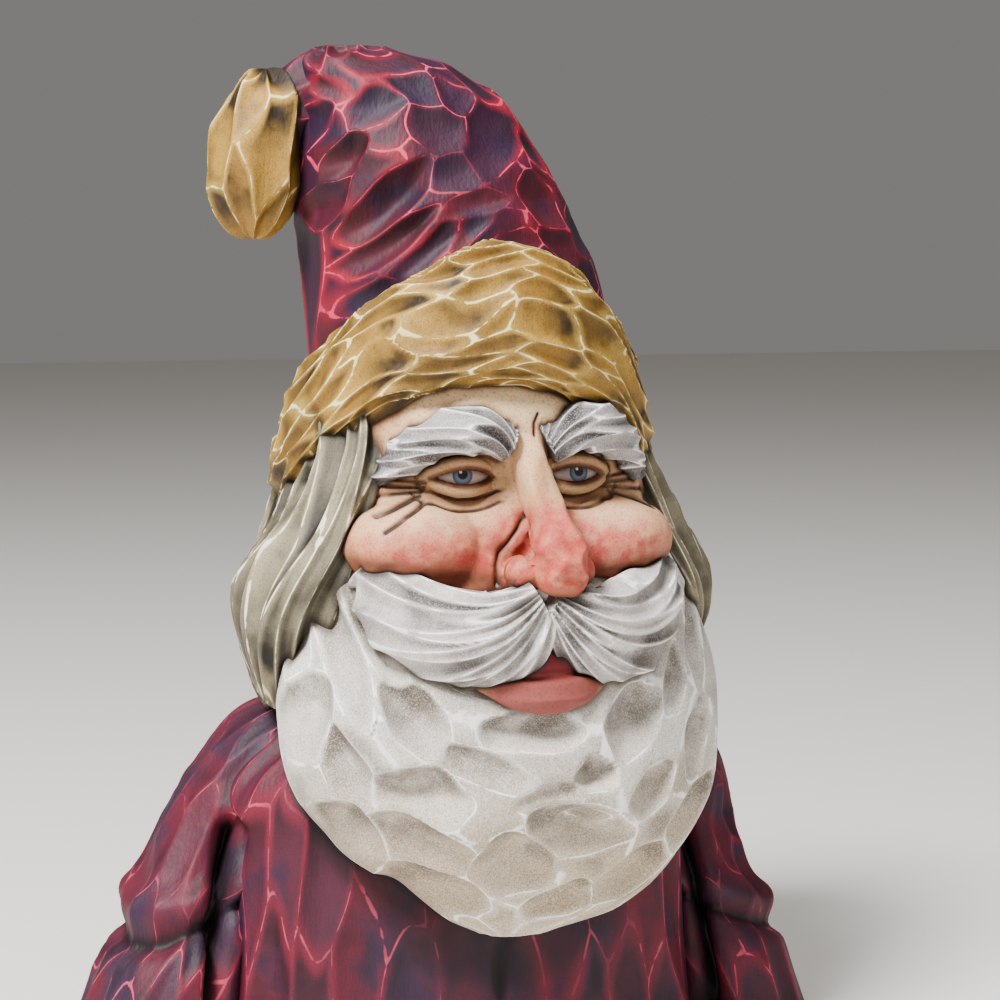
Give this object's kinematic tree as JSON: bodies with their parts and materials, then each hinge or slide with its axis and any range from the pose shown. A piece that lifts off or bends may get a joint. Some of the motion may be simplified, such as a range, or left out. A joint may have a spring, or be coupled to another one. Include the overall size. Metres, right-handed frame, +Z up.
{
  "type": "carved santa figure",
  "caption": "Hand-carved, painted wooden santa bust with a slumped cap, fur band, fluted moustache, scooped beard and coat, sawn flat below.",
  "frame": {"origin": "in the flat underside, below the middle of the figure's bounding box", "axes": "+Z up along the height, the face towards -Y, the cap leaning towards -X, which is the figure's own right"},
  "size_m": [0.1362, 0.0841, 0.174],
  "materials": {
    "painted_wood": "hand-painted and antiqued under satin varnish"
  },
  "bodies": {
    "root": {"santa_figure": "painted_wood"}
  },
  "joints": []
}
